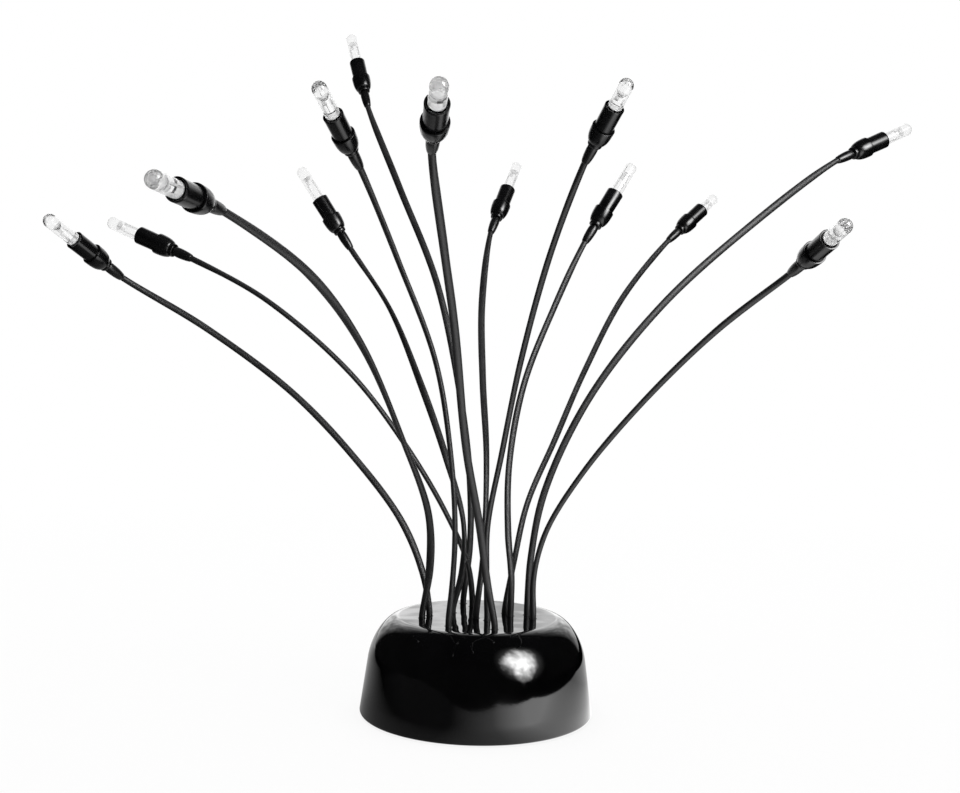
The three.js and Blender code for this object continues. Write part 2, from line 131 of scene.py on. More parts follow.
def spread(tree, source, low, high, from_low=noise_low, from_high=noise_high):
    """A straight ramp from low to high while the source goes from from_low to from_high."""
    ends = {"From Min": from_low, "From Max": from_high, "To Min": low, "To Max": high}
    ramp = add_node(tree, "ShaderNodeMapRange", **ends)
    tree.links.new(source, ramp.inputs["Value"])
    return ramp.outputs["Result"]


def tint(tree, source, dark, light):
    ramp = add_node(tree, "ShaderNodeValToRGB")
    ramp.color_ramp.elements[0].position = noise_low
    ramp.color_ramp.elements[1].position = noise_high
    ramp.color_ramp.elements[0].color = (*dark, 1)
    ramp.color_ramp.elements[1].color = (*light, 1)
    tree.links.new(source, ramp.inputs["Fac"])
    return ramp.outputs["Color"]


def bump(tree, source, distance, after=None):
    node = add_node(tree, "ShaderNodeBump", Strength=1, Distance=distance)
    tree.links.new(source, node.inputs["Height"])
    if after is not None:
        tree.links.new(after, node.inputs["Normal"])
    return node.outputs["Normal"]


print("noise is used from", noise_low, "to", noise_high)

# %% [markdown]
# Moulded plastic or rubber is never the same all over: its colour and gloss drift slowly, and the mould
# leaves a fine grain. A slow noise makes the drift and a finer one the grain. The grain is a bump and
# not modelled, because it is far smaller than any face of the mesh.

# %% Moulded finishes
drift_size = 12


def moulded(name, dark, light, smooth, rough, grain, grain_depth):
    """Moulded plastic or rubber: a colour and gloss that drift slightly, with a fine surface grain."""
    material, tree, shader = new_material(name)
    drift = noise_at(tree, object_place(tree), grain / drift_size, 2)
    speckle = noise_at(tree, object_place(tree), grain, 4)
    tree.links.new(tint(tree, drift, dark, light), shader.inputs["Base Color"])
    tree.links.new(spread(tree, drift, smooth, rough), shader.inputs["Roughness"])
    tree.links.new(bump(tree, speckle, grain_depth), shader.inputs["Normal"])
    return material


print("the drift is", drift_size, "times as coarse as the grain")

# %% [markdown]
# ## The finishes
# The shell is polished black plastic. Its top isn't perfectly flat, so reflections on it waver. The dents
# could be modelled, but a bump turns the reflections just as well and leaves the outline as it is. So a
# second, slow bump follows the grain. The height on the piece sets its strength, and it all but stops
# below the top.

# %% Slow swell
def add_swell(material, scale, depth, calm_height, full_height, calm_share):
    """Adds a slow swell to a finish: weak below one height and full above another."""
    tree = material.node_tree
    shader = tree.nodes["Principled BSDF"]
    grain = shader.inputs["Normal"].links[0].from_socket
    height = add_node(tree, "ShaderNodeSeparateXYZ")
    tree.links.new(object_place(tree), height.inputs["Vector"])
    normal = bump(tree, noise_at(tree, object_place(tree), scale, 1, 0.4), depth, after=grain)
    share = spread(tree, height.outputs["Z"], calm_share, 1, calm_height, full_height)
    tree.links.new(share, normal.node.inputs["Strength"])
    tree.links.new(normal, shader.inputs["Normal"])


print("swell helper is ready")

# %% [markdown]
# The wire's sheath is dark and satin, the boots and holders are near black with a soft gloss, and the
# mouldings underneath are matt. These differ only in how dark, glossy and coarse they are, so one helper
# makes them all: it takes the darkest and lightest colour, the least and most roughness, and the scale
# and depth of the grain.

# %% Black finishes
shell_black = moulded("shell_black", (0.0016, 0.0016, 0.0018), (0.003, 0.003, 0.0034),
                      0.02, 0.035, 900, 0.0008 * mm)
swell_scale = 70
swell_depth = 0.4 * mm
calm_below = 34.4 * mm
full_above = 35.2 * mm
calm_share = 0.015
add_swell(shell_black, swell_scale, swell_depth, calm_below, full_above, calm_share)
sheath_grey = moulded("sheath_grey", (0.009, 0.009, 0.0095), (0.019, 0.019, 0.02),
                      0.46, 0.56, 1400, 0.006 * mm)
boot_black = moulded("boot_black", (0.004, 0.004, 0.0045), (0.009, 0.009, 0.0095),
                     0.26, 0.38, 1500, 0.014 * mm)
holder_black = moulded("holder_black", (0.003, 0.003, 0.0034), (0.006, 0.006, 0.0065),
                       0.18, 0.28, 1200, 0.006 * mm)
cover_black = moulded("cover_black", (0.011, 0.011, 0.012), (0.02, 0.02, 0.021),
                      0.45, 0.6, 2200, 0.03 * mm)
rubber_black = moulded("rubber_black", (0.012, 0.012, 0.012), (0.022, 0.022, 0.021),
                       0.7, 0.85, 1600, 0.05 * mm)
soft_plastic_ior = 1.42
for finish in (sheath_grey, boot_black, holder_black):
    finish.node_tree.nodes["Principled BSDF"].inputs["IOR"].default_value = soft_plastic_ior
print("black finishes:", len(bpy.data.materials))

# %% [markdown]
# The parts inside are seen only when the light is opened: dark resin, a green board, ferrite, a bright
# can, a green terminal block, grey iron and steel. Metals use the same helper with the metal switch on.

# %% Other finishes
def metal(name, dark, light, smooth, rough, grain, grain_depth):
    material = moulded(name, dark, light, smooth, rough, grain, grain_depth)
    material.node_tree.nodes["Principled BSDF"].inputs["Metallic"].default_value = 1
    return material


resin_dark = moulded("resin_dark", (0.012, 0.012, 0.014), (0.022, 0.022, 0.025), 0.18, 0.3, 700, 0.02 * mm)
board_green = moulded("board_green", (0.006, 0.05, 0.02), (0.01, 0.075, 0.03), 0.3, 0.4, 1200, 0.01 * mm)
ferrite_dark = moulded("ferrite_dark", (0.02, 0.02, 0.022), (0.04, 0.04, 0.042), 0.5, 0.7, 1500, 0.04 * mm)
terminal_green = moulded("terminal_green", (0.015, 0.14, 0.045), (0.025, 0.18, 0.06),
                         0.35, 0.5, 1000, 0.02 * mm)
iron_grey = metal("iron_grey", (0.12, 0.12, 0.125), (0.2, 0.2, 0.205), 0.5, 0.7, 600, 0.08 * mm)
can_bright = metal("can_bright", (0.5, 0.51, 0.53), (0.65, 0.66, 0.67), 0.2, 0.35, 1500, 0.01 * mm)
screw_steel = metal("screw_steel", (0.42, 0.43, 0.44), (0.6, 0.6, 0.61), 0.2, 0.35, 2500, 0.01 * mm)
frame_silver = metal("frame_silver", (0.74, 0.74, 0.74), (0.94, 0.94, 0.94),
                     0.3, 0.45, 1600, 0.05 * mm)
print("finishes:", len(bpy.data.materials))

# %% [markdown]
# A lamp is cast in clear resin, which transmits nearly all light. Its index of refraction is set a
# little under the 1.5 of real resin, because light that is reflected many times inside the dome is lost
# here and would leave a dark rim. A trace of cloudiness scatters the rest, so that the rod never looks
# hollow. Its skin is slightly uneven on two scales, so what shines through breaks up into small specks.

# %% Clear resin
clear_share = 0.94
resin_ior = 1.42
cast_scale = 420
speck_scale = 1300


def clear_finish(name):
    material, tree, shader = new_material(name)
    shader.inputs["Transmission Weight"].default_value = clear_share
    shader.inputs["IOR"].default_value = resin_ior
    shader.inputs["Base Color"].default_value = (0.985, 0.985, 0.985, 1)
    cast = noise_at(tree, object_place(tree), cast_scale, 2)
    specks = noise_at(tree, object_place(tree), speck_scale, 2)
    tree.links.new(spread(tree, cast, 0.02, 0.07), shader.inputs["Roughness"])
    uneven = bump(tree, cast, 0.03 * mm)
    speckled = bump(tree, specks, 0.018 * mm, after=uneven)
    tree.links.new(speckled, shader.inputs["Normal"])
    return material


lamp_clear = clear_finish("lamp_clear")
print("clear resin is ready")

# %% [markdown]
# ## Turned shapes
# Almost every part of the light is round, so most pieces start as a half outline that bmesh spins once
# round the axis. The doubles that the spin leaves at the seam and at the poles are merged, the normals
# are made to point out, and the sharp corners get a small bevel, because a real moulding has no sharp
# edge and a gloss finish shows the difference.

# %% Shape helpers
merge_distance = 0.001 * mm


def spun(outline, steps, closed=False):
    shape = bmesh.new()
    corners = [shape.verts.new((radius, 0, height)) for radius, height in outline]
    edges = [shape.edges.new(pair) for pair in zip(corners, corners[1:])]
    if closed:
        edges.append(shape.edges.new((corners[-1], corners[0])))
    bmesh.ops.spin(shape, geom=corners + edges, cent=(0, 0, 0), axis=(0, 0, 1), dvec=(0, 0, 0),
                   angle=2 * math.pi, steps=steps, use_merge=True)
    bmesh.ops.remove_doubles(shape, verts=shape.verts[:], dist=merge_distance)
    bmesh.ops.recalc_face_normals(shape, faces=shape.faces[:])
    return shape


def soften(shape, width, segments=3, sharper_than=30):
    limit = math.radians(sharper_than)
    sharp = [e for e in shape.edges if len(e.link_faces) == 2 and e.calc_face_angle(0) > limit]
    bmesh.ops.bevel(shape, geom=sharp, offset=width, offset_type="OFFSET", segments=segments,
                    profile=0.5, affect="EDGES", material=-1, clamp_overlap=True)
    return shape


def moved(shape, matrix):
    bmesh.ops.transform(shape, matrix=matrix, verts=shape.verts[:])
    return shape


def add_shape(shape, other):
    mesh = bpy.data.meshes.new("passing")
    other.to_mesh(mesh)
    shape.from_mesh(mesh)
    bpy.data.meshes.remove(mesh)
    other.free()
    return shape


def arc(centre_radius, centre_height, radius, first, last, steps):
    """Points along an arc in the half outline, angles in degrees from straight out."""
    points = []
    for step in range(steps + 1):
        angle = math.radians(first + (last - first) * step / steps)
        points.append((centre_radius + radius * math.cos(angle), centre_height + radius * math.sin(angle)))
    return points


print("doubles closer than", round(merge_distance / mm, 4), "mm are merged")

# %% [markdown]
# A finished shape becomes an object at the origin, with its place and its finish in its mesh. Smooth
# shading hides the facets of a spun wall, and edges above an angle stay sharp. Each object then rides on
# its body, and the solids of the imported model that it stands in for are hidden.

# %% Place and attach
def placed(name, shape, material):
    mesh = bpy.data.meshes.new(name)
    shape.to_mesh(mesh)
    shape.free()
    mesh.materials.append(material)
    mesh.shade_smooth()
    piece = bpy.data.objects.new(name, mesh)
    scene.collection.objects.link(piece)
    return piece


def attached(piece, body, slot, *nodes, sharp_angle=40):
    piece.data.set_sharp_from_angle(angle=math.radians(sharp_angle))
    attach(piece, body)
    if nodes:
        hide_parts(*nodes)
    return piece


def fitted(name, shape, material, body, slot, *nodes):
    return attached(placed(name, shape, material), body, slot, *nodes)


print("placing helpers are ready")

# %% [markdown]
# Holes, flutes and slots are cut with the Boolean modifier, and its result is kept as plain mesh. A
# cutter that crosses itself can leave nothing at all, so cutters lie side by side or cut in turn.

# %% Cut away
def cut_away(piece, cutter):
    """Cuts one mesh out of another and keeps the result as plain mesh."""
    boolean = piece.modifiers.new("cut", "BOOLEAN")
    boolean.operation = "DIFFERENCE"
    boolean.solver = "EXACT"
    boolean.object = cutter
    graph = bpy.context.evaluated_depsgraph_get()
    result = bpy.data.meshes.new_from_object(piece.evaluated_get(graph))
    piece.modifiers.clear()
    piece.data = result
    bpy.data.objects.remove(cutter)
    return piece


print("cutting helper is ready")

# %% [markdown]
# ## Where the stems go
# The list repeats the routes that the model was built with, in shares of the stems' reach of 100 mm
# from the middle of the flat top: the root, five places along the wire, the back end of the boot and
# the front of the holder. The last number is how far the lamp stands out, as a share of 14 mm.

# %% Stem sizes
reach = 100 * mm
base_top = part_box("base_shell")[1].z
tail_depth = 1.6 * mm
tail_rise = 1.5 * mm
boot_length = 7.5 * mm
wire_into_holder = 5 * mm
fit_gap = 0.3 * mm
lamp_out = 14 * mm
samples_per_span = 16
print("reach", round(reach / mm), "mm above a top at", round(base_top / mm, 1), "mm")

# %% Stem list
stem_shares = [
    ("01", (-0.174, -0.02), [(-0.2, -0.01, 0.15), (-0.28, 0.02, 0.33), (-0.455, 0.09, 0.545),
     (-0.705, 0.16, 0.785), (-1.04, 0.2, 1.02)], (-1.34, 0.14, 1.2), (-1.46, -0.03, 1.32), 1.02),
    ("02", (-0.02, 0.16), [(-0.04, 0.15, 0.16), (-0.12, 0.15, 0.34), (-0.27, 0.12, 0.59),
     (-0.485, 0.1, 0.865), (-0.8, 0.13, 1.125)], (-1.11, 0.26, 1.28), (-1.33, 0.34, 1.37), 1.08),
    ("03", (-0.198, -0.06), [(-0.175, -0.06, 0.17), (-0.18, -0.12, 0.38), (-0.265, -0.27, 0.65),
     (-0.385, -0.56, 0.975), (-0.52, -0.85, 1.19)], (-0.71, -1.19, 1.34), (-0.78, -1.42, 1.37), 0.93),
    ("04", (-0.09, 0.04), [(-0.06, 0.06, 0.15), (-0.06, 0.13, 0.32), (-0.13, 0.26, 0.54),
     (-0.24, 0.44, 0.81), (-0.385, 0.63, 1.115)], (-0.56, 0.76, 1.36), (-0.7, 0.79, 1.57), 1.12),
    ("05", (-0.1, -0.18), [(-0.09, -0.17, 0.15), (-0.085, -0.16, 0.33), (-0.105, -0.15, 0.59),
     (-0.165, -0.15, 0.92), (-0.3, -0.22, 1.27)], (-0.42, -0.37, 1.56), (-0.49, -0.56, 1.7), 1),
    ("06", (-0.055, 0.21), [(-0.035, 0.24, 0.21), (-0.04, 0.28, 0.46), (-0.09, 0.39, 0.8),
     (-0.19, 0.58, 1.21), (-0.37, 0.85, 1.63)], (-0.53, 1.1, 2), (-0.59, 1.21, 2.21), 1.1),
    ("07", (0.06, -0.22), [(0.03, -0.23, 0.17), (0, -0.27, 0.37), (-0.05, -0.39, 0.64),
     (-0.09, -0.68, 1.04), (-0.12, -0.89, 1.26)], (-0.15, -1.2, 1.51), (-0.13, -1.42, 1.595), 0.75),
    ("08", (-0.005, -0.04), [(0.01, -0.01, 0.16), (0.02, 0.07, 0.33), (0.02, 0.21, 0.57),
     (0, 0.44, 0.84), (-0.01, 0.7, 1.15)], (0.02, 0.91, 1.45), (0.09, 1.04, 1.65), 1.08),
    ("09", (0.035, -0.08), [(0.03, -0.07, 0.15), (0.03, -0.05, 0.34), (0.075, -0.03, 0.6),
     (0.135, -0.03, 0.93), (0.225, -0.1, 1.3)], (0.33, -0.24, 1.61), (0.41, -0.41, 1.77), 0.82),
    ("10", (0.12, 0.01), [(0.12, 0.01, 0.14), (0.105, 0.05, 0.3), (0.105, 0.13, 0.54),
     (0.155, 0.24, 0.83), (0.27, 0.37, 1.13)], (0.39, 0.49, 1.39), (0.51, 0.56, 1.59), 1.05),
    ("11", (0.1, 0.05), [(0.13, 0.1, 0.18), (0.175, 0.19, 0.38), (0.285, 0.4, 0.61),
     (0.42, 0.7, 0.88), (0.605, 1.04, 1.195)], (0.83, 1.31, 1.46), (0.99, 1.41, 1.61), 0.75),
    ("12", (0.18, 0.03), [(0.19, 0.04, 0.21), (0.235, 0.06, 0.45), (0.39, 0.1, 0.79),
     (0.66, 0.19, 1.14), (1.04, 0.36, 1.48)], (1.39, 0.56, 1.74), (1.6, 0.65, 1.84), 1.03),
    ("13", (0.2, -0.03), [(0.2, -0.02, 0.15), (0.24, -0.02, 0.315), (0.365, -0.05, 0.535),
     (0.56, -0.11, 0.79), (0.79, -0.25, 1.05)], (0.99, -0.45, 1.24), (1.06, -0.67, 1.34), 0.8),
]
print("stems listed:", len(stem_shares))

# %% [markdown]
# Straight lines between the places would leave corners, and curve handles would have to be set by hand
# for thirteen wires. A centripetal Catmull-Rom curve runs through every place by itself and never
# overshoots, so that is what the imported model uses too.

# %% Smooth routes
def above_top(share):
    return Vector(share) * reach + Vector((0, 0, base_top))


def smooth_route(points, samples):
    """A centripetal Catmull-Rom curve through the points, with an even count of samples per span."""
    first = points[0] + (points[0] - points[1])
    last = points[-1] + (points[-1] - points[-2])
    padded = [first, *points, last]
    route = []
    for index in range(len(points) - 1):
        p0, p1, p2, p3 = padded[index:index + 4]
        t1 = (p1 - p0).length ** 0.5
        t2 = t1 + (p2 - p1).length ** 0.5
        t3 = t2 + (p3 - p2).length ** 0.5
        for sample in range(samples):
            t = t1 + (t2 - t1) * sample / samples
            a1 = p0 * ((t1 - t) / t1) + p1 * (t / t1)
            a2 = p1 * ((t2 - t) / (t2 - t1)) + p2 * ((t - t1) / (t2 - t1))
            a3 = p2 * ((t3 - t) / (t3 - t2)) + p3 * ((t - t2) / (t3 - t2))
            b1 = a1 * ((t2 - t) / t2) + a2 * (t / t2)
            b2 = a2 * ((t3 - t) / (t3 - t1)) + a3 * ((t - t1) / (t3 - t1))
            route.append(b1 * ((t2 - t) / (t2 - t1)) + b2 * ((t - t1) / (t2 - t1)))
    route.append(points[-1])
    return route


print("samples in a span:", samples_per_span)

# %% [markdown]
# Boots, holders and lamps are modelled upright at the origin, which keeps their outlines simple. A
# matrix then turns the upright axis along the stem's heading and moves the foot to the boot's back.

# %% Heads
def head_matrix(back, heading):
    """Turns an upright piece so that its axis runs along the heading, with its foot at the boot's back."""
    upright = Vector((0, 0, 1))
    return Matrix.Translation(back) @ upright.rotation_difference(heading).to_matrix().to_4x4()


stems = []
lamps_out = {}
for number, root_share, way_shares, boot_share, front_share, lamp_share in stem_shares:
    root = above_top((*root_share, 0))
    back = above_top(boot_share)
    heading = (above_top(front_share) - back).normalized()
    ends = [root - Vector((0, 0, tail_depth)), root + Vector((0, 0, tail_rise))]
    inside = back + heading * (boot_length + wire_into_holder)
    points = [*ends, *[above_top(share) for share in way_shares], back, inside]
    stems.append((number, root, back, heading, points))
    lamps_out[number] = lamp_out * lamp_share
print("stems:", len(stems))

# %% [markdown]
# ## The base shell
# The shell is one moulding: a flat polished top, a broad shoulder and a wall that leans in. A gloss
# surface shows every kink, so the shoulder is a quarter of an ellipse laid over the leaning wall, and it
# starts level with the top and ends along the wall. The outline is spun finely, and then the holes for
# the stems and the cable gland are cut.

# %% Shell sizes
base_low, base_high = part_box("base_shell")
foot_radius = base_high.x
rim_height = base_low.z
rim_round = 1 * mm
wall_lean = 0.1405
shoulder_height = 20.3 * mm
flat_radius = 28.04 * mm
inner_top = base_top - 2.6 * mm
inner_flat_radius = 27.5 * mm
inner_wall_top_radius = 37.4 * mm
inner_wall_top = 14.63 * mm
inner_wall_low_radius = 38.6 * mm
inner_power = 1.86
flange_top = 6.8 * mm
collar_radius = 33.2 * mm
collar_outer_radius = 35.2 * mm
collar_top = 10.5 * mm
ledge_height = 4.3 * mm
pocket_radius = 39.2 * mm
outer_shoulder_steps = 40
inner_shoulder_steps = 14
shell_steps = 160
print("shell top", round(base_top / mm, 2))

# %% Shell outline
def wall_radius(height):
    return foot_radius - wall_lean * (height - rim_height - rim_round)


def quarter_turn(steps):
    angles = [math.pi / 2 * step / steps for step in range(steps + 1)]
    return [(max(math.cos(angle), 0), math.sin(angle)) for angle in angles]


def outer_shoulder(steps):
    points = []
    for across, up in quarter_turn(steps):
        height = shoulder_height + (base_top - shoulder_height) * up
        points.append((flat_radius + (wall_radius(height) - flat_radius) * across, height))
    return points


def inner_shoulder(steps):
    width = inner_wall_top_radius - inner_flat_radius
    rise = inner_top - inner_wall_top
    power = 2 / inner_power
    return [(inner_flat_radius + width * across ** power, inner_wall_top + rise * up ** power)
            for across, up in quarter_turn(steps)]


outer_wall = []
for share in (0, 0.3, 0.6, 0.85):
    height = rim_height + rim_round + (shoulder_height - rim_height - rim_round) * share
    outer_wall.append((wall_radius(height), height))
shell_outline = [
    (0, inner_top),
    *reversed(inner_shoulder(inner_shoulder_steps)),
    (inner_wall_low_radius, flange_top),
    (collar_outer_radius, flange_top),
    (collar_outer_radius, collar_top),
    (collar_radius, collar_top),
    (collar_radius, ledge_height),
    (pocket_radius, ledge_height),
    (pocket_radius, rim_height),
    *arc(foot_radius - rim_round, rim_height + rim_round, rim_round, -90, 0, 6)[:-1],
    *outer_wall,
    *outer_shoulder(outer_shoulder_steps),
    (flat_radius * 0.97, base_top),
    (0, base_top),
]
shell = placed("base_shell_polished", spun(shell_outline, shell_steps), shell_black)
print("outline points:", len(shell_outline))

# %% Holes in the shell
hole_radius = 1.5 * mm
hole_low_radius = 2.05 * mm
holes = bmesh.new()
for number, root, back, heading, points in stems:
    hole = spun([(0, inner_top - mm), (hole_low_radius, inner_top - mm),
                 (hole_radius, base_top - 0.3 * mm), (hole_radius, base_top + mm), (0, base_top + mm)], 24)
    add_shape(holes, moved(hole, Matrix.Translation((root.x, root.y, 0))))
gland_low, gland_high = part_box("gland_body")
gland_axis_height = (gland_low.z + gland_high.z) / 2
gland_hole_radius = 4.7 * mm
gland_hole_start = 33 * mm
gland_hole_end = 44 * mm
gland_hole = spun([(0, gland_hole_start), (gland_hole_radius, gland_hole_start),
                   (gland_hole_radius, gland_hole_end), (0, gland_hole_end)], 48)
lay_back = Matrix.Translation((0, 0, gland_axis_height)) @ Matrix.Rotation(-math.pi / 2, 4, "X")
add_shape(holes, moved(gland_hole, lay_back))
cut_away(shell, placed("cutter", holes, shell_black))
attached(shell, "base", "shell_black", "base_shell")
print("shell faces:", len(shell.data.polygons))

# %% [markdown]
# ## The cable gland
# The supply cable goes in low on the back, through a gland. Its flat seat stands out of the shell's
# curve, a washer lies on the seat, and outside that come the hexagon and a domed cap with flutes for the
# fingers. Each is a closed ring round an open bore: the round ones are spun, and the hexagon and the
# flutes are cut with a boolean.

# %% Gland seat and washer
seat_start = 36.5 * mm
seat_face = 41.2 * mm
seat_radius = 6.6 * mm
washer_face = 42.5 * mm
gland_bore_radius = 3.1 * mm
seat = spun([(gland_hole_radius, seat_start), (seat_radius, seat_start), (seat_radius, seat_face),
             (gland_hole_radius, seat_face)], 64, closed=True)
soften(seat, 0.25 * mm)
fitted("gland_seat", moved(seat, lay_back), shell_black, "base", "shell_black")
washer = spun([(gland_hole_radius, 41.5 * mm), (5.9 * mm, 41.5 * mm), (6 * mm, 42 * mm),
               (5.9 * mm, washer_face), (gland_hole_radius, washer_face)], 64, closed=True)
soften(washer, 0.15 * mm)
fitted("gland_washer", moved(washer, lay_back), rubber_black, "base", "seal_black", "gland_seal")
print("seat and washer are in place")

# %% Hexagons
def hexagon_ring(name, radius, bore, low, high, node):
    shape = bmesh.new()
    bmesh.ops.create_cone(shape, cap_ends=True, segments=6, radius1=radius, radius2=radius,
                          depth=high - low)
    soften(shape, 0.35 * mm)
    ring = placed(name, moved(shape, Matrix.Translation((0, 0, (low + high) / 2))), cover_black)
    hole = spun([(0, low - mm), (bore, low - mm), (bore, high + mm), (0, high + mm)], 48)
    cut_away(ring, placed("cutter", hole, cover_black))
    ring.data.transform(lay_back)
    return attached(ring, "base", "gland_black", node, sharp_angle=30)


hexagon_radius = 6.35 * mm
hexagon_start = 42.8 * mm
hexagon_face = 46.3 * mm
nut_radius = 5.75 * mm
nut_start = 32.3 * mm
nut_face = 35.3 * mm
hexagon = hexagon_ring("gland_hexagon", hexagon_radius, gland_bore_radius, hexagon_start, hexagon_face,
                       "gland_body")
lock_nut = hexagon_ring("gland_lock_nut", nut_radius, gland_hole_radius, nut_start, nut_face, "gland_nut")
print("hexagons:", hexagon.name, lock_nut.name)

# %% Thread, cap and grommet
thread_radius = 4.1 * mm
ridge_radius = 4.4 * mm
ridge_count = 7
ridges = []
for turn in range(ridge_count):
    low = (32 + 1.5 * turn) * mm
    ridges += [(thread_radius, low + 0.1 * mm), (ridge_radius, low + 0.75 * mm),
               (thread_radius, low + 1.4 * mm)]
thread = spun([(gland_bore_radius, 32 * mm), *ridges, (thread_radius, hexagon_start),
               (gland_bore_radius, hexagon_start)], 48, closed=True)
fitted("gland_thread", moved(thread, lay_back), cover_black, "base", "gland_black")
cap_outline = [(3.5 * mm, hexagon_face), (5 * mm, hexagon_face), (5.1 * mm, 46.6 * mm),
               (5.1 * mm, 48.6 * mm), (4.95 * mm, 49.6 * mm), (4.6 * mm, 50.4 * mm),
               (4.05 * mm, 50.85 * mm), (3.5 * mm, 50.9 * mm)]
cap = placed("gland_cap", soften(spun(cap_outline, 96, closed=True), 0.08 * mm, 2), cover_black)
flute_count = 12
flute_radius = 0.55 * mm
flute_circle = 5.35 * mm
flutes = bmesh.new()
for index in range(flute_count):
    flute = spun([(0, 46 * mm), (flute_radius, 46 * mm), (flute_radius, 49.4 * mm), (0, 50 * mm)], 12)
    angle = 2 * math.pi * index / flute_count
    place = (flute_circle * math.cos(angle), flute_circle * math.sin(angle), 0)
    add_shape(flutes, moved(flute, Matrix.Translation(place)))
cut_away(cap, placed("cutter", flutes, cover_black))
cap.data.transform(lay_back)
attached(cap, "base", "gland_black", sharp_angle=30)
grommet = spun([(gland_bore_radius, 46.5 * mm), (3.45 * mm, 46.5 * mm), (3.45 * mm, 51 * mm),
                (gland_bore_radius, 51 * mm)], 48, closed=True)
fitted("gland_grommet", moved(soften(grommet, 0.1 * mm), lay_back), rubber_black, "base", "seal_black")
print("cap flutes:", flute_count)

# %% [markdown]
# ## The underside
# A cover closes the base from below. Its outline runs from the pocket for the rubber pad, round the rim
# and up the spigot with its seal groove to the hub that centres the ballast. Four screws hold it, and
# three posts carry the board. The pad has shallow rings, which keep it from sliding on a wet stone.

# %% Bottom cover
cover_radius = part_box("bottom_cover")[1].x
pad_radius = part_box("foot_pad")[1].x
pad_pocket_radius = pad_radius + 0.3 * mm


def screw_middle(node):
    low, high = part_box(node)
    return Vector(((low.x + high.x) / 2, (low.y + high.y) / 2))


screw_count = 4
screw_circle = screw_middle("screw_1").length
screw_angles = [math.radians(45 + 90 * index) for index in range(screw_count)]
screw_places = [(screw_circle * math.cos(angle), screw_circle * math.sin(angle)) for angle in screw_angles]
cover_outline = [
    (0, 2.3 * mm), (pad_pocket_radius, 2.3 * mm), (pad_pocket_radius, 1.3 * mm),
    (cover_radius - 0.3 * mm, 1.3 * mm), (cover_radius, 1.6 * mm), (cover_radius, 4 * mm),
    (32.9 * mm, 4 * mm), (32.9 * mm, 5.6 * mm), (31.1 * mm, 5.6 * mm), (31.1 * mm, 8 * mm),
    (32.9 * mm, 8 * mm), (32.6 * mm, 9 * mm), (29.6 * mm, 9 * mm), (29.6 * mm, 4 * mm),
    (7.5 * mm, 4 * mm), (7.5 * mm, 10.7 * mm), (7.2 * mm, 11 * mm), (0, 11 * mm),
]
cover = placed("bottom_cover_moulded", spun(cover_outline, 128), cover_black)
screw_holes = bmesh.new()
for x, y in screw_places:
    hole = spun([(0, 0.5 * mm), (2.3 * mm, 0.5 * mm), (2.3 * mm, 3.1 * mm), (1.55 * mm, 3.1 * mm),
                 (1.55 * mm, 4.6 * mm), (0, 4.6 * mm)], 32)
    add_shape(screw_holes, moved(hole, Matrix.Translation((x, y, 0))))
cut_away(cover, placed("cutter", screw_holes, cover_black))
attached(cover, "base", "cover_black", "bottom_cover")
print("cover faces:", len(cover.data.polygons))

# %% Board posts
post_count = 3
post_circle = 25.2 * mm
for index in range(post_count):
    post = spun([(0, 3.9 * mm), (2 * mm, 3.9 * mm), (1.9 * mm, 14 * mm), (1.2 * mm, 14 * mm),
                 (1.2 * mm, 16.6 * mm), (0.9 * mm, 16.9 * mm), (0, 16.9 * mm)], 32)
    angle = math.radians(30 + 360 / post_count * index)
    place = Matrix.Translation((post_circle * math.cos(angle), post_circle * math.sin(angle), 0))
    fitted(f"cover_post_{index + 1}", moved(post, place), cover_black, "base", "cover_black")
print("board posts:", post_count)

# %% Rubber pad
ring_count = 4
pad_outline = [(0, 0.3 * mm), (4 * mm, 0.3 * mm), (4.3 * mm, 0)]
for ring in range(ring_count):
    middle = (9 + 5 * ring) * mm
    pad_outline += [(middle - 0.6 * mm, 0), (middle - 0.35 * mm, 0.35 * mm),
                    (middle + 0.35 * mm, 0.35 * mm), (middle + 0.6 * mm, 0)]
pad_outline += [(pad_radius - 0.4 * mm, 0), (pad_radius, 0.4 * mm), (pad_radius, 2 * mm), (0, 2 * mm)]
fitted("foot_pad_ringed", spun(pad_outline, 128), rubber_black, "base", "pad_black", "foot_pad")
print("pad rings:", ring_count)

# %% Screws
head_face = 1.3 * mm
slot_place = Matrix.Translation((0, 0, head_face))
slot_size = Matrix.Diagonal((2.6 * mm, 0.7 * mm, 1.6 * mm, 1))
screw_nodes = [f"screw_{index + 1}" for index in range(screw_count)]
for index, (x, y) in enumerate(screw_places, start=1):
    outline = [(0, head_face), (1.5 * mm, head_face), (1.9 * mm, 1.5 * mm), (2 * mm, 1.9 * mm),
               (2 * mm, 2.8 * mm), (1.25 * mm, 2.8 * mm), (1.25 * mm, 8.4 * mm), (0.6 * mm, 9.4 * mm),
               (0, 9.4 * mm)]
    screw = placed(f"screw_{index}_turned", spun(outline, 32), screw_steel)
    for turn in (0, math.pi / 2):
        slot = bmesh.new()
        bmesh.ops.create_cube(slot, size=1)
        moved(slot, slot_place @ Matrix.Rotation(turn, 4, "Z") @ slot_size)
        cut_away(screw, placed("cutter", slot, screw_steel))
    screw.data.transform(Matrix.Translation((x, y, 0)))
    nearest = min(screw_nodes, key=lambda node: (Vector((x, y)) - screw_middle(node)).length)
    attached(screw, "base", "screw_steel", nearest, sharp_angle=30)
    print(screw.name, "faces:", len(screw.data.polygons))

# %% [markdown]
# ## The stems
# The sheath is a little flat, because two cores lie side by side in it, and it turns as the stem is bent.
# So the same wire looks broad in one place and narrow in another. Each stem lists how far its broad side
# is turned from the viewer at the root and at the head, in degrees. A curve object with a round bevel
# makes the wire, and its points are then moved in or out along the broad and the narrow side.

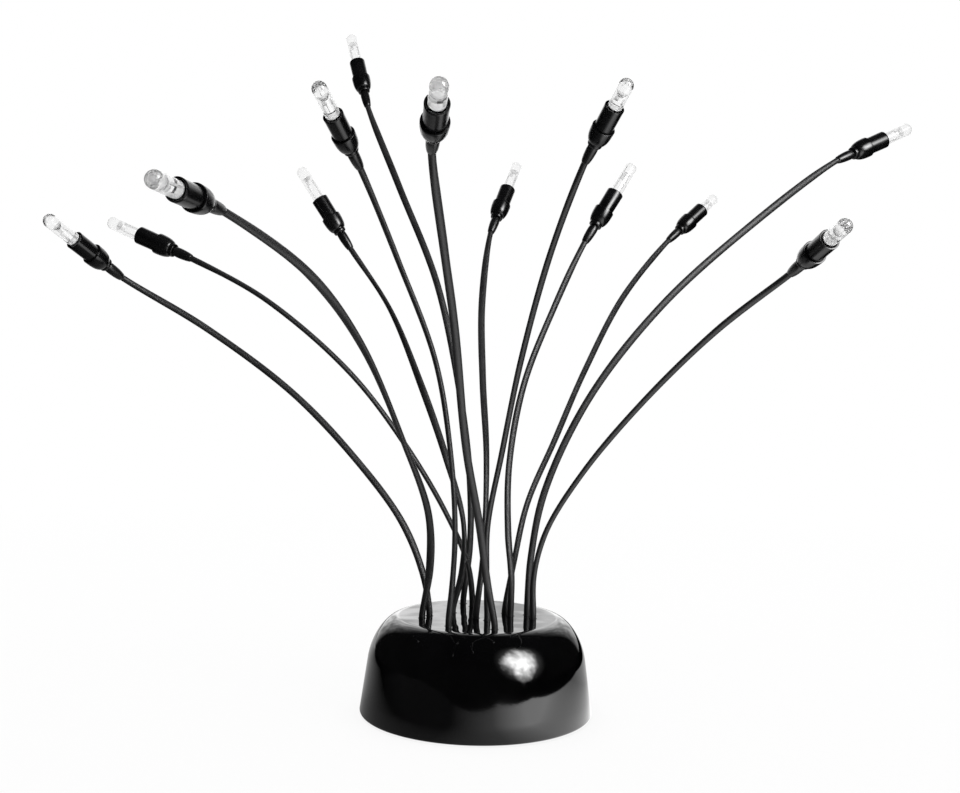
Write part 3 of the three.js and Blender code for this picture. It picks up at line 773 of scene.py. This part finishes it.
# %% Wire sizes
wire_radius = 1.15 * mm
broad_share = 1.24
narrow_share = 0.84
round_at_root = 4 * mm
round_at_head = 3 * mm
fade_length = 12 * mm
swell_share = 0.025
swell_step = 0.35
swell_fade_step = 0.11
toward_back = Vector((0, 1, 0))
broad_side_turns = {
    "01": (38, 50), "02": (85, 80), "03": (-110, 290), "04": (238, -172), "05": (55, 125), "06": (60, 0),
    "07": (15, 40), "08": (160, -60), "09": (95, 35), "10": (45, 40), "11": (75, 15), "12": (50, -5),
    "13": (95, 35),
}
random.seed(13)
print("turns:", len(broad_side_turns))

# %% Round wires
def round_wire(name, route):
    curve = bpy.data.curves.new(name, "CURVE")
    curve.dimensions = "3D"
    curve.bevel_depth = wire_radius
    curve.bevel_resolution = 6
    curve.use_fill_caps = True
    spline = curve.splines.new("POLY")
    spline.points.add(len(route) - 1)
    swell = random.uniform(0, 6)
    for index, (point, place) in enumerate(zip(spline.points, route)):
        point.co = (*place, 1)
        wave = math.sin(swell + index * swell_step) * math.sin(index * swell_fade_step)
        point.radius = 1 + swell_share * wave
    carrier = bpy.data.objects.new(name, curve)
    mesh = bpy.data.meshes.new_from_object(carrier)
    bpy.data.objects.remove(carrier)
    bpy.data.curves.remove(curve)
    return mesh


print("wire", round(2 * wire_radius / mm, 1), "mm thick")

# %% [markdown]
# In the shell's hole and in the boot the wire stays round, so that it fits them. Between the two it
# fades into its flat form, over a length in which the change can't be seen.

# %% Where a wire is flat
def flat_shares(route):
    """How flat the wire is at each point of its route: 0 is round, 1 is as flat as it gets."""
    travelled = [0]
    for first, second in zip(route, route[1:]):
        travelled.append(travelled[-1] + (second - first).length)
    head = travelled[-1] - wire_into_holder - boot_length - round_at_head
    root = tail_depth + tail_rise + round_at_root
    inside = [min(way - root, head - way) / fade_length for way in travelled]
    return [min(max(share, 0), 1) for share in inside]


print("the flat form fades in over", round(fade_length / mm), "mm")

# %% [markdown]
# The flattening works on the finished mesh: each corner finds its nearest place on the route, and moves
# out along the broad side there and in along the narrow one. A k-d tree makes that search quick.

# %% Flat wires
def flatten(shape, route, first_turn, last_turn):
    nearest = KDTree(len(route))
    for index, place in enumerate(route):
        nearest.insert(place, index)
    nearest.balance()
    flat = flat_shares(route)
    for corner in shape.verts:
        centre, index, _ = nearest.find(corner.co)
        ahead = (route[min(index + 1, len(route) - 1)] - route[max(index - 1, 0)]).normalized()
        across = ahead.cross(toward_back).normalized()
        turn = math.radians(first_turn + (last_turn - first_turn) * index / len(route))
        broad = Matrix.Rotation(turn, 3, ahead) @ across
        narrow = ahead.cross(broad)
        offset = corner.co - centre
        corner.co += broad * (offset.dot(broad) * (broad_share - 1) * flat[index])
        corner.co += narrow * (offset.dot(narrow) * (narrow_share - 1) * flat[index])


def add_wire(number, points):
    name = f"stem_{number}_wire"
    route = smooth_route(points, samples_per_span)
    shape = bmesh.new()
    mesh = round_wire(name, route)
    shape.from_mesh(mesh)
    bpy.data.meshes.remove(mesh)
    flatten(shape, route, *broad_side_turns[number])
    bmesh.ops.remove_doubles(shape, verts=shape.verts[:], dist=merge_distance / 2)
    bmesh.ops.recalc_face_normals(shape, faces=shape.faces[:])
    return fitted(name, shape, sheath_grey, f"stem_{number}_arm", "sheath_grey", f"stem_{number}")


for number, root, back, heading, points in stems:
    add_wire(number, points)
print("wires:", len(stems))

# %% [markdown]
# The boot is a short sleeve that keeps the wire from breaking where it meets the holder. It starts
# as a rounded step on the wire and swells towards the holder.

# %% Boots
boot_bore_radius = 0.95 * mm
boot_outline = [
    (boot_bore_radius, 0), (1.28 * mm, 0), (1.42 * mm, 0.15 * mm), (1.52 * mm, 0.6 * mm),
    (1.68 * mm, 1.5 * mm), (1.84 * mm, 3 * mm), (1.93 * mm, 4.8 * mm), (1.94 * mm, 6 * mm),
    (1.85 * mm, boot_length - 0.2 * mm), (1.75 * mm, boot_length), (boot_bore_radius, boot_length),
]
for number, root, back, heading, points in stems:
    boot = moved(spun(boot_outline, 40, closed=True), head_matrix(back, heading))
    fitted(f"stem_{number}_boot", boot, boot_black, f"stem_{number}_arm", "sheath_grey")
print("boots:", len(stems))

# %% [markdown]
# ## The lamp holders
# Each holder is a small lip, a domed collar with a crisp front edge, and a thin open tube that the lamp
# sits in. The collar is a piece of its own, pushed on by hand, so it sits very slightly crooked, and
# differently on every stem.

# %% Holder sizes
lip_radius = 2.6 * mm
lip_length = 1.2 * mm
collar_start = 1.5 * mm
collar_end = 7.9 * mm
collar_outer = 4 * mm
tube_back_radius = 3.3 * mm
tube_radius = 3.4 * mm
holder_length = 16.7 * mm
lamp_bore_radius = 2.8 * mm
lamp_bore_depth = 4.9 * mm
wire_bore_radius = 1.45 * mm
head_start = boot_length + fit_gap
collar_bore_radius = tube_back_radius + 0.06 * mm
dome_end = collar_start + 1.8 * mm
most_crooked = 1.5
print("holder length", round(holder_length / mm, 1))

# %% Holders
def holder_shape():
    outline = [
        (wire_bore_radius, 0), (lip_radius - 0.45 * mm, 0), (lip_radius - 0.12 * mm, 0.15 * mm),
        (lip_radius, 0.5 * mm), (lip_radius, lip_length), (2.5 * mm, lip_length), (2.5 * mm, collar_start),
        (tube_back_radius - 0.4 * mm, collar_start + 0.8 * mm), (tube_back_radius, dome_end),
        (tube_back_radius, collar_end), (tube_back_radius + 0.03 * mm, collar_end + 2 * mm),
        (tube_radius, holder_length - 0.6 * mm), (tube_radius, holder_length),
        (lamp_bore_radius, holder_length), (lamp_bore_radius, holder_length - lamp_bore_depth),
        (wire_bore_radius, holder_length - lamp_bore_depth - 1.4 * mm),
    ]
    return soften(spun(outline, 56, closed=True), 0.1 * mm, 2)


def collar_shape():
    dome = [(2.4 * mm, collar_start), (2.75 * mm, collar_start + 0.05 * mm),
            (3.05 * mm, collar_start + 0.3 * mm), (3.32 * mm, collar_start + 0.8 * mm),
            (3.6 * mm, collar_start + 1.6 * mm), (3.82 * mm, collar_start + 2.7 * mm),
            (3.95 * mm, collar_start + 4 * mm)]
    outline = [*dome, (collar_outer, collar_end - 0.9 * mm), (collar_outer, collar_end),
               (collar_bore_radius, collar_end), (collar_bore_radius, dome_end)]
    return soften(spun(outline, 64, closed=True), 0.1 * mm, 3, 50)


for number, root, back, heading, points in stems:
    place = head_matrix(back + heading * head_start, heading)
    fitted(f"holder_{number}_tube", moved(holder_shape(), place), holder_black,
           f"stem_{number}_arm", "holder_black", f"holder_{number}")
    crooked = Matrix.Rotation(math.radians(random.uniform(-most_crooked, most_crooked)), 4, "X")
    middle = Matrix.Translation((0, 0, (collar_start + collar_end) / 2))
    tilt = middle @ crooked @ middle.inverted()
    fitted(f"holder_{number}_collar", moved(collar_shape(), place @ tilt), holder_black,
           f"stem_{number}_arm", "holder_black")
print("holders:", len(stems))

# %% [markdown]
# ## The lamps
# A lamp is cast in one piece: a clear rod of 5 mm with a domed tip. Inside it are two metal leads. One
# carries a bright cup with the chip, the other ends beside it, and both stand in a bright plate. These
# are real shapes inside the clear body, so the dome magnifies the cup and the rod doubles the leads.
# The plate lies just past the mouth of the holder's tube, where it catches light. Each lamp is pushed
# in by hand, so some stand out further than others.

# %% Lamps
lamp_radius = 2.5 * mm
lamp_back = holder_length - 4.3 * mm
cup_below_tip = 5.2 * mm
plate_height = holder_length + 0.3 * mm
lead_width = 0.4 * mm
most_turned = 0.6


def lamp_shape(lamp_tip):
    outline = [(0, lamp_back), (lamp_radius, lamp_back)]
    outline += [(lamp_radius, lamp_back + (lamp_tip - lamp_radius - lamp_back) * share)
                for share in (0.33, 0.66)]
    outline += arc(0, lamp_tip - lamp_radius, lamp_radius, 0, 90, 14)[:-1]
    outline += [(0, lamp_tip)]
    return soften(spun(outline, 48), 0.1 * mm, 2, 60)


def bar(width, depth, low, high, x):
    shape = bmesh.new()
    bmesh.ops.create_cube(shape, size=1)
    scale = Matrix.Diagonal((width, depth, high - low, 1))
    moved(shape, Matrix.Translation((x, 0, (low + high) / 2)) @ scale)
    return soften(shape, min(width, depth) * 0.2, 2)


def leads_shape(cup_rim):
    leads = bar(lead_width, lead_width, plate_height, cup_rim - 3.2 * mm, -1 * mm)
    add_shape(leads, bar(lead_width, lead_width, plate_height, cup_rim - 4 * mm, 1.1 * mm))
    add_shape(leads, bar(0.9 * mm, lead_width, cup_rim - 3.4 * mm, cup_rim - 1.2 * mm, -0.5 * mm))
    add_shape(leads, bar(0.5 * mm, lead_width, cup_rim - 4.2 * mm, cup_rim - 1.9 * mm, 1.05 * mm))
    plate = [(0, plate_height - 0.3 * mm), (2.3 * mm, plate_height - 0.3 * mm), (2.35 * mm, plate_height),
             (2.2 * mm, plate_height + 0.15 * mm), (0, plate_height + 0.3 * mm)]
    add_shape(leads, spun(plate, 40))
    cup = [(0, cup_rim - 1.5 * mm), (0.7 * mm, cup_rim - 1.4 * mm), (1.3 * mm, cup_rim),
           (1.17 * mm, cup_rim), (0.55 * mm, cup_rim - 1.1 * mm), (0, cup_rim - 1.1 * mm)]
    return add_shape(leads, spun(cup, 32))


for number, root, back, heading, points in stems:
    place = head_matrix(back + heading * head_start, heading)
    turn = Matrix.Rotation(random.uniform(-most_turned, most_turned), 4, "Z")
    tip = holder_length + lamps_out[number]
    fitted(f"lamp_{number}_body", moved(lamp_shape(tip), place), lamp_clear,
           f"stem_{number}_arm", "lamp_clear", f"lamp_{number}")
    fitted(f"lamp_{number}_leads", moved(leads_shape(tip - cup_below_tip), place @ turn), frame_silver,
           f"stem_{number}_arm", "screw_steel")
print("lamps:", len(stems))

# %% [markdown]
# ## Finishes for the solids that stay
# The pieces inside the base keep the shape of the model and only get their finish.

# %% Finish the kept solids
kept_finishes = {
    "cover_seal": rubber_black, "ballast": iron_grey, "resin_fill": resin_dark,
    "circuit_board": board_green, "inductor": ferrite_dark, "capacitor": can_bright,
    "terminal_block": terminal_green,
}
for name, finish in kept_finishes.items():
    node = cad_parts[name]
    node.data.materials.clear()
    node.data.materials.append(finish)
print("kept solids:", len(kept_finishes))

# %% [markdown]
# ## Floor, backdrop and light
# Floor and backdrop are plain white where the camera sees them, and the floor keeps a faint shadow near
# the light. What a gloss black surface shows is its surroundings, so they matter more than the overhead
# light: the room is dark, the white table has painted light on it, bright on the window's side, and ends
# at two slanting edges, a pale wall stands behind, and the window is a soft patch high on the right. Only
# glossy rays see these. They are patterns worked out from places, as sums and products of numbers, so the
# next helpers add a node with its numbers in one line.

# %% Number nodes
def joined(tree, kind, *values, **settings):
    """A new node's first output, with a number or another output on each of its first sockets."""
    node = add_node(tree, kind, **settings)
    for socket, value in zip(node.inputs, values):
        if isinstance(value, (int, float)):
            socket.default_value = value
        else:
            tree.links.new(value, socket)
    return node.outputs[0]


def math_node(tree, operation, first, second):
    return joined(tree, "ShaderNodeMath", first, second, operation=operation)


def product(tree, first, second):
    return math_node(tree, "MULTIPLY", first, second)


def mixed(tree, share, first, second):
    return joined(tree, "ShaderNodeMixShader", share, first, second)


def vector_node(tree, operation, source, direction=(0, 0, 0)):
    node = add_node(tree, "ShaderNodeVectorMath", operation=operation)
    tree.links.new(source, node.inputs[0])
    node.inputs[1].default_value = direction
    return node.outputs


def length_of(tree, source):
    return vector_node(tree, "LENGTH", source)["Value"]


def along(tree, source, direction):
    return vector_node(tree, "DOT_PRODUCT", source, direction)["Value"]


print("number helpers are ready")

# %% [markdown]
# The table's light is painted, as an emission pattern on the floor: bright on the window's side, dark on
# the other, and dimmer behind the light than before it. It stops at two slanting edges, which the shell
# shows as a soft line. A lit sheet would lie in the floor's own plane and show through it in patches, so
# the painted table light is a pattern on the floor. Each ramp gives the light at its two ends and then the
# places of the ends, and each edge a direction and a distance.

# %% Painted table light
table_edges = [((0.78, 0.62, 0), 0.174), ((0.94, 0.34, 0), 0.335)]
edge_blur = 0.004
sunny_side = (1, 0.5, 0)
shade_ramp = (0.05, 0.9, -0.85, -0.2)
sun_ramp = (0, 2.6, -0.2, 0.4)
front_ramp = (1, 0, -0.1, 0.05)
behind_ramp = (0, 0.75, -0.12, 0.03)


# painted light: the table's brightness for glossy rays is an emission pattern on the floor, not light from
# the lamps
def painted_table_light(tree, place):
    sunny = math_node(tree, "DIVIDE", along(tree, place, sunny_side), length_of(tree, place))
    on_table = 1
    for across, edge in table_edges:
        before = spread(tree, along(tree, place, across), 1, 0, edge - edge_blur, edge + edge_blur)
        on_table = product(tree, on_table, before)
    dim = spread(tree, along(tree, place, table_edges[0][0]), *behind_ramp)
    bright = math_node(tree, "ADD", spread(tree, sunny, *shade_ramp), spread(tree, sunny, *sun_ramp))
    in_front = spread(tree, along(tree, place, toward_back), *front_ramp)
    behind = math_node(tree, "SUBTRACT", 1, in_front)
    both = math_node(tree, "ADD", product(tree, bright, in_front), product(tree, dim, behind))
    table = add_node(tree, "ShaderNodeEmission")
    tree.links.new(product(tree, both, on_table), table.inputs["Strength"])
    return table.outputs["Emission"]


print("table edges:", len(table_edges))

# %% [markdown]
# The Light Path node tells the rays apart. Camera and transmission rays see white with a faint shadow
# near the light, glossy rays see the painted table light, and all others see matt white paint.

# %% Floor
shadow_ramp = (0.12, 0, 0.15, 0.6)
floor_size = 12


def rays(tree):
    """Whether a ray is a camera or transmission ray, and whether it is a glossy one."""
    path = add_node(tree, "ShaderNodeLightPath").outputs
    direct = math_node(tree, "MAXIMUM", path["Is Camera Ray"], path["Is Transmission Ray"])
    return direct, path["Is Glossy Ray"]


def white_ground(name):
    material, tree, shader = new_material(name)
    shader.inputs["Base Color"].default_value = (0.86, 0.86, 0.86, 1)
    shader.inputs["Roughness"].default_value = 0.9
    place = object_place(tree)
    white = add_node(tree, "ShaderNodeEmission", Strength=1).outputs["Emission"]
    shadow_share = spread(tree, length_of(tree, place), *shadow_ramp)
    shaded = mixed(tree, shadow_share, white, shader.outputs["BSDF"])
    direct, glossy = rays(tree)
    # glossy rays see the painted table light
    unseen = mixed(tree, glossy, shader.outputs["BSDF"], painted_table_light(tree, place))
    shown = mixed(tree, direct, unseen, shaded)
    tree.links.new(shown, tree.nodes["Material Output"].inputs["Surface"])
    material.cycles.emission_sampling = "NONE"
    return material


def sheet_piece(name, width, depth, matrix, material):
    shape = bmesh.new()
    bmesh.ops.create_grid(shape, x_segments=1, y_segments=1, size=0.5)
    moved(shape, matrix @ Matrix.Diagonal((width, depth, 1, 1)))
    piece = placed(name, shape, material)
    return piece


sheet_piece("floor", floor_size, floor_size, Matrix.Identity(4), white_ground("floor_white"))
print("floor is down")

# %% [markdown]
# Wall and window are two cards that stand round the light and face it. Real rooms could be modelled, but
# only their reflection is ever seen, and a card's light can be shaped with a few nodes. Its light is
# added to a clear surface, so that its dark parts hide nothing, and all rays but glossy ones pass it by.

# %% Cards
cards_face = Vector((0, 0, 0.03))


def card_material(name, strength):
    """Light that is added to what lies behind the card, so that its dark parts hide nothing."""
    material = bpy.data.materials.new(name)
    material.use_nodes = True
    tree = material.node_tree
    tree.nodes.remove(tree.nodes["Principled BSDF"])
    place = object_place(tree)
    emission = add_node(tree, "ShaderNodeEmission")
    tree.links.new(strength(tree, place), emission.inputs["Strength"])
    clear = add_node(tree, "ShaderNodeBsdfTransparent").outputs["BSDF"]
    both = joined(tree, "ShaderNodeAddShader", emission.outputs["Emission"], clear)
    tree.links.new(both, tree.nodes["Material Output"].inputs["Surface"])
    return material


def card(name, centre, width, height, material):
    toward = (cards_face - Vector(centre)).normalized()
    turn = toward.to_track_quat("Z", "Y").to_matrix().to_4x4()
    piece = sheet_piece(name, width, height, Matrix.Translation(centre) @ turn, material)
    piece.visible_camera = False
    piece.visible_diffuse = False
    piece.visible_transmission = False
    piece.visible_shadow = False
    return piece


print("the cards face a point", round(cards_face.z / mm), "mm above the floor")

# %% [markdown]
# The wall stands behind. It is brightest low down, fades towards its top and both sides, and is patchy,
# as a real room is.

# %% Pale wall
wall_centre = (0, 0.8, 0.45)
wall_size = (1.8, 1.2)
wall_top_ramp = (1, 0, 0.45, 0.95)
wall_left_ramp = (0, 1, -0.85, -0.3)
wall_right_ramp = (1, 0, 0.3, 0.85)
wall_patches = (9, 1, 2.5)


def soft_noise(tree, place, scale, low, high):
    return spread(tree, noise_at(tree, place, scale, 2), low, high)


def wall_light(tree, place):
    side = along(tree, place, (1, 0, 0))
    upper = spread(tree, along(tree, place, (0, 0, 1)), *wall_top_ramp)
    left = spread(tree, side, *wall_left_ramp)
    right = spread(tree, side, *wall_right_ramp)
    patchy = soft_noise(tree, place, *wall_patches)
    return product(tree, product(tree, upper, patchy), product(tree, left, right))


card("pale_wall", wall_centre, *wall_size, card_material("wall_pale", wall_light))
print("wall is up")

# %% [markdown]
# The window is the one bright thing that the shell's shoulder shows. It is built of a pane, the sill
# under it and a weak glow round both. Each is a patch whose light falls off with the squared distance
# from its middle, which gives a soft edge, and noise makes the edges of the pane and the sill ragged.

# %% Window
window_centre = (0.67, -0.52, 0.54)
window_size = (1.1, 1.4)
window_right = Vector((0.52, 0.67, 0)).normalized()
window_up = window_right.cross(-Vector(window_centre)).normalized()
ragged_stretch = (1.8, 1.8, 0.9)
ragged_edge = (3, -0.38, 0.38)
full_light_within = -0.1
# The pane, the sill under it and the glow round both: the middle's height over the window's centre, half
# the width and height, the light, where it ends in squared half sizes, and whether the edge is ragged.
window_patches = [
    (0.02, 0.34, 0.38, 26, 1.4, True),
    (-0.27, 0.22, 0.28, 11, 1.4, True),
    (-0.02, 0.52, 0.6, 2.2, 1, False),
]


def patch(tree, place, up, half_width, half_height):
    """The squared distance from a place on the window, in half widths and half heights."""
    middle = Vector(window_centre) + window_up * up
    squares = []
    for direction, half in ((window_right, half_width), (window_up, half_height)):
        offset = math_node(tree, "SUBTRACT", along(tree, place, direction), middle.dot(direction))
        share = math_node(tree, "DIVIDE", offset, half)
        squares.append(product(tree, share, share))
    return math_node(tree, "ADD", *squares)


def window_light(tree, place):
    stretched = vector_node(tree, "MULTIPLY", place, ragged_stretch)["Vector"]
    ragged = soft_noise(tree, stretched, *ragged_edge)
    light = 0
    for up, half_width, half_height, strength, end, is_ragged in window_patches:
        edge = ragged if is_ragged else 0
        distance = math_node(tree, "ADD", patch(tree, place, up, half_width, half_height), edge)
        inside = spread(tree, distance, 1, 0, full_light_within, end)
        soft_edged = product(tree, inside, inside)
        light = math_node(tree, "ADD", light, product(tree, soft_edged, strength))
    return light


card("window", window_centre, *window_size, card_material("window_bright", window_light))
print("window patches:", len(window_patches))

# %% World
dark_room = 0.01
world = bpy.data.worlds.new("room")
scene.world = world
world.use_nodes = True
sky = world.node_tree
background = sky.nodes["Background"]
background.inputs["Color"].default_value = (dark_room, dark_room, dark_room, 1)
white_world = add_node(sky, "ShaderNodeBackground", Color=(1, 1, 1, 1), Strength=1)
direct, _ = rays(sky)
chosen = mixed(sky, direct, background.outputs["Background"], white_world.outputs["Background"])
sky.links.new(chosen, sky.nodes["World Output"].inputs["Surface"])
print("world is set")

# %% Overhead light
overhead = bpy.data.lights.new("overhead", "AREA")
overhead.shape = "SQUARE"
overhead.size = 1.6
overhead.energy = 32
soft_box = bpy.data.objects.new("overhead", overhead)
scene.collection.objects.link(soft_box)
soft_box.matrix_world = Matrix.Translation((0, 0.1, 1.5))
soft_box.visible_camera = False
soft_box.visible_transmission = False
soft_box.visible_glossy = False
print("lights:", len(bpy.data.lights))

# %% Colour settings
bpy.context.scene.view_settings.view_transform = "Standard"
